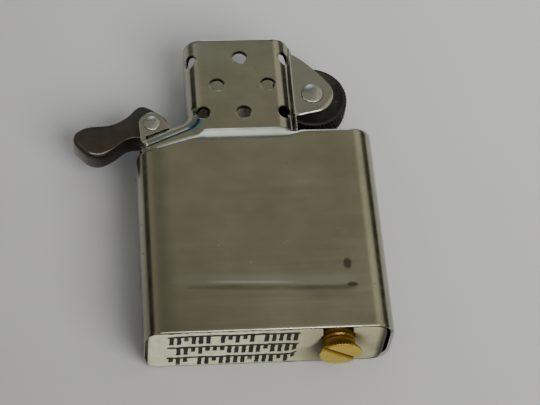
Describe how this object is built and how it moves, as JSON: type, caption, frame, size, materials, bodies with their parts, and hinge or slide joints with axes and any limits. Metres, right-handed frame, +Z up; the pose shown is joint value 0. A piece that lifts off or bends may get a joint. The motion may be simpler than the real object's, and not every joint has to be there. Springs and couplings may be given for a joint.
{
  "type": "lighter insert",
  "caption": "Inside unit of a windproof petrol lighter: rounded steel tank, perforated chimney with flint wheel, wick and lid cam, and a felt-covered base with a brass flint screw.",
  "frame": {"origin": "centre of the tank's flat back face, which lies on the table", "axes": "+X across the unit from the cam to the flint wheel, +Y from the felt end to the top of the chimney, +Z up from the table through the thickness"},
  "size_m": [0.0456, 0.0534, 0.0108],
  "materials": {
    "sheet_steel": "satin rolled sheet",
    "cam_steel": "dark bronzed",
    "rivet_steel": "polished",
    "spring_steel": "plain",
    "wheel_steel": "blackened, cross-cut teeth",
    "brass": "turned",
    "flint_metal": "matt",
    "felt": "pressed felt",
    "cotton": "loose cotton",
    "core_wire": "plain"
  },
  "bodies": {
    "tank": {"tank_shell": "sheet_steel", "chimney": "sheet_steel", "cam_rivet": "rivet_steel", "wheel_rivet": "rivet_steel", "cam_spring": "spring_steel", "cam_spring_rivet": "rivet_steel", "flint_tube": "brass", "felt_base": "felt", "wick": "cotton", "wick_core": "core_wire", "packing_1": "cotton", "packing_2": "cotton", "packing_3": "cotton", "packing_4": "cotton", "packing_5": "cotton"},
    "cam": {"cam": "cam_steel"},
    "wheel": {"flint_wheel": "wheel_steel"},
    "flint": {"flint": "flint_metal", "flint_plunger": "brass"},
    "flint_spring": {"flint_spring": "spring_steel"},
    "flint_screw": {"flint_screw": "brass"},
    "felt_flap": {"felt_flap": "felt"}
  },
  "joints": [
    {"name": "cam_pivot", "type": "hinge", "parent": "tank", "child": "cam", "pos_m": [-0.0154, 0.02045, 0.0054], "axis": [0, 0, 1], "range_deg": [-100, 5]},
    {"name": "wheel_spin", "type": "hinge", "parent": "tank", "child": "wheel", "pos_m": [0.0099, 0.02535, 0.0054], "axis": [0, 0, 1], "continuous": true},
    {"name": "flint_press", "type": "slide", "parent": "tank", "child": "flint", "axis": [0, 1, 0], "range_m": [-0.002, 0], "stiffness_N_per_m": 2, "springref_m": 0.008},
    {"name": "screw_travel", "type": "slide", "parent": "tank", "child": "flint_spring", "axis": [0, 1, 0], "range_m": [-0.0035, 0.00175], "deforming": ["flint_spring"]},
    {"name": "screw_turn", "type": "hinge", "parent": "flint_spring", "child": "flint_screw", "pos_m": [0.0103, -0.017, 0.0054], "axis": [0, 1, 0], "range_deg": [-1808, 904]},
    {"name": "felt_lift", "type": "hinge", "parent": "tank", "child": "felt_flap", "pos_m": [0.0051, -0.0168, 0.0054], "axis": [0, 0, 1], "range_deg": [0, 50], "stiffness_Nm_per_rad": 0.0002}
  ],
  "couplings": [
    {"joint": "screw_turn", "follows": "screw_travel", "rad_per_m": 8976}
  ]
}
